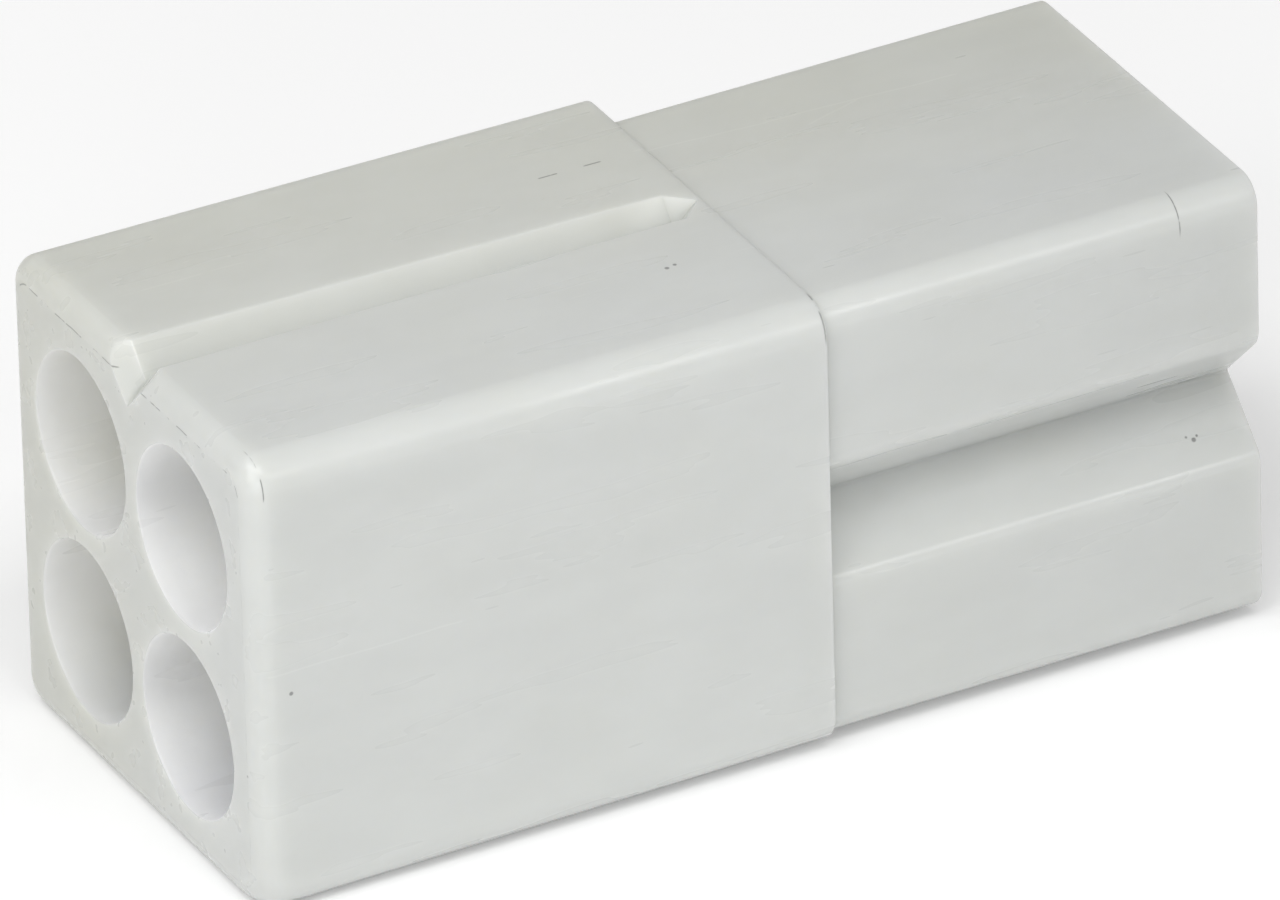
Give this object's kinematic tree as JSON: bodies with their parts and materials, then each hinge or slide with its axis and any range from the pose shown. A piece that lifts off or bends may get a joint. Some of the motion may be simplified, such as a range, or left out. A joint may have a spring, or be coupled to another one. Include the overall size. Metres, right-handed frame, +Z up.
{
  "type": "wire to board connector housing",
  "caption": "Moulded nylon housing that holds crimped wire terminals in rows of round cavities and plugs into a header, keyed by a V groove along its side.",
  "frame": {"origin": "centre of the bounding box's underside, which is the level of the entry face's lower edge", "axes": "+X runs along the cavities from the wire end to the mating end, +Z is up with the V grooves of the top towards +Z, and -Y is the keyed side"},
  "size_m": [0.0194, 0.0088, 0.0088],
  "materials": {
    "natural_nylon": "natural translucent nylon, milky white, softly glossy as moulded"
  },
  "bodies": {
    "root": {"housing": "natural_nylon"}
  },
  "joints": []
}
